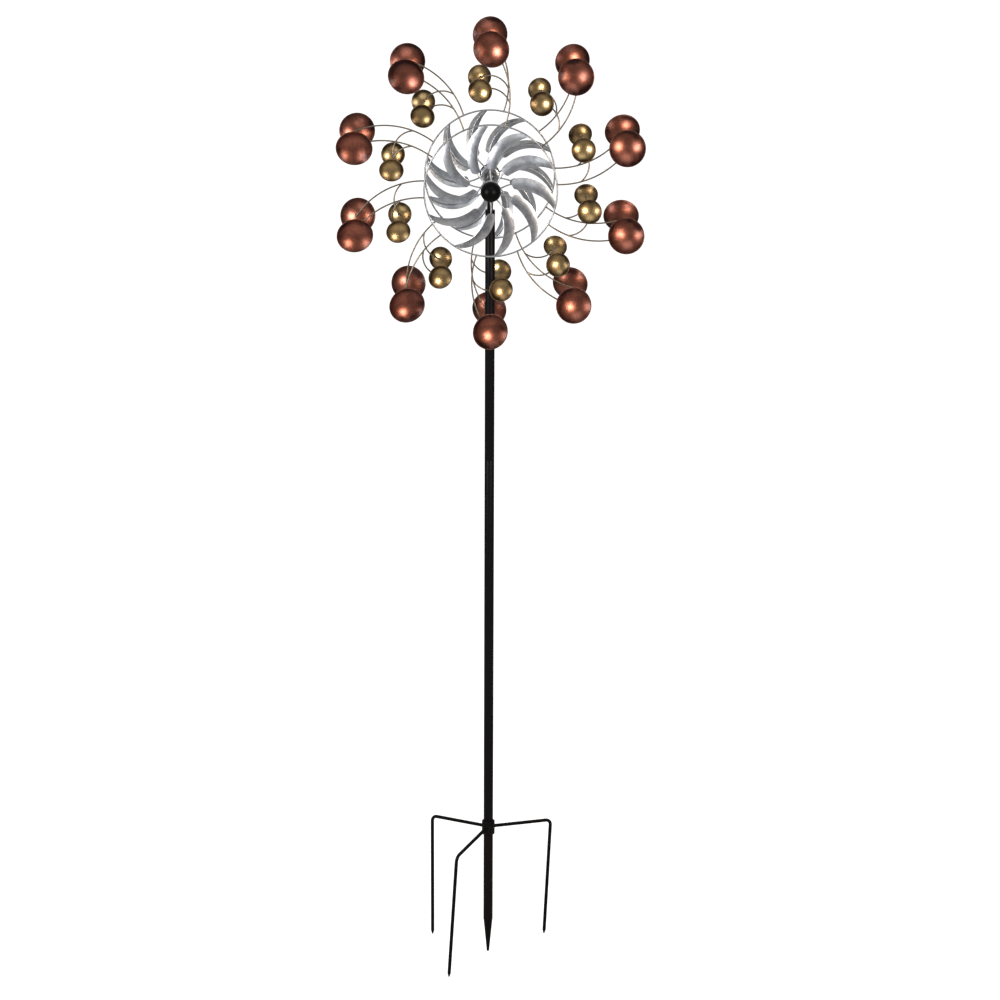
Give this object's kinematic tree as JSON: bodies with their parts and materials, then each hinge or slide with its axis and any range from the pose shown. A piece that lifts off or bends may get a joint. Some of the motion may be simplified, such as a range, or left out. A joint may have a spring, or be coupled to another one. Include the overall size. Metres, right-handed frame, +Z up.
{
  "type": "kinetic wind sculpture",
  "caption": "Garden wind spinner: two counter-turning rotors of curved blades and dished cups on a cross axle, on a tall pole with a pronged ground stake.",
  "frame": {"origin": "on the pole's axis at ground level, at the underside of the stake collar", "axes": "+Z up along the pole, -Y the front, which the front rotor's cups open towards, +X to the right seen from the front"},
  "size_m": [0.5832, 0.2451, 1.9068],
  "materials": {
    "black_paint": "satin powder coat",
    "plain_steel": "mill finish",
    "zinc_plate": "bright zinc plate",
    "bearing_steel": "ground and polished",
    "black_cap": "semi-gloss",
    "silver_wire": "galvanised",
    "bronze_wire": "antique bronze paint",
    "antique_copper": "brushed antique copper",
    "antique_gold": "brushed antique gold",
    "mottled_zinc": "mottled galvanised sheet"
  },
  "bodies": {
    "stand": {"stake_tube": "black_paint", "stake_point": "black_paint", "stake_collar": "black_paint", "prong_left": "black_paint", "prong_right": "black_paint", "prong_front": "black_paint", "pole_lower": "black_paint", "pole_middle": "black_paint", "pole_upper": "black_paint", "stake_coupler": "plain_steel", "lower_coupler": "plain_steel", "upper_coupler": "plain_steel", "head_post": "black_paint", "head_screw": "zinc_plate", "axle": "zinc_plate", "axle_spacers": "zinc_plate", "bearing_spacers": "zinc_plate", "axle_washers": "zinc_plate", "axle_nuts": "zinc_plate", "inner_races": "bearing_steel", "bearing_balls": "bearing_steel", "ball_cages": "bearing_steel"},
    "front_rotor": {"front_hub": "zinc_plate", "front_cap": "black_cap", "front_outer_races": "bearing_steel", "front_ring": "silver_wire", "front_spokes": "silver_wire", "front_arms": "bronze_wire", "front_branches": "bronze_wire", "front_large_cups": "antique_copper", "front_small_cups": "antique_gold", "front_blade_1": "mottled_zinc", "front_blade_2": "mottled_zinc", "front_blade_3": "mottled_zinc", "front_blade_4": "mottled_zinc", "front_blade_5": "mottled_zinc", "front_blade_6": "mottled_zinc", "front_blade_7": "mottled_zinc", "front_blade_8": "mottled_zinc", "front_blade_9": "mottled_zinc", "front_blade_10": "mottled_zinc"},
    "rear_rotor": {"rear_hub": "zinc_plate", "rear_cap": "black_cap", "rear_outer_races": "bearing_steel", "rear_ring": "silver_wire", "rear_spokes": "silver_wire", "rear_arms": "bronze_wire", "rear_branches": "bronze_wire", "rear_large_cups": "antique_copper", "rear_small_cups": "antique_gold", "rear_blade_1": "mottled_zinc", "rear_blade_2": "mottled_zinc", "rear_blade_3": "mottled_zinc", "rear_blade_4": "mottled_zinc", "rear_blade_5": "mottled_zinc", "rear_blade_6": "mottled_zinc", "rear_blade_7": "mottled_zinc", "rear_blade_8": "mottled_zinc", "rear_blade_9": "mottled_zinc", "rear_blade_10": "mottled_zinc"}
  },
  "joints": [
    {"name": "front_spin", "type": "hinge", "parent": "stand", "child": "front_rotor", "pos_m": [0, -0.081, 1.34], "axis": [0, -1, 0], "continuous": true},
    {"name": "rear_spin", "type": "hinge", "parent": "stand", "child": "rear_rotor", "pos_m": [0, 0.081, 1.34], "axis": [0, -1, 0], "continuous": true}
  ]
}
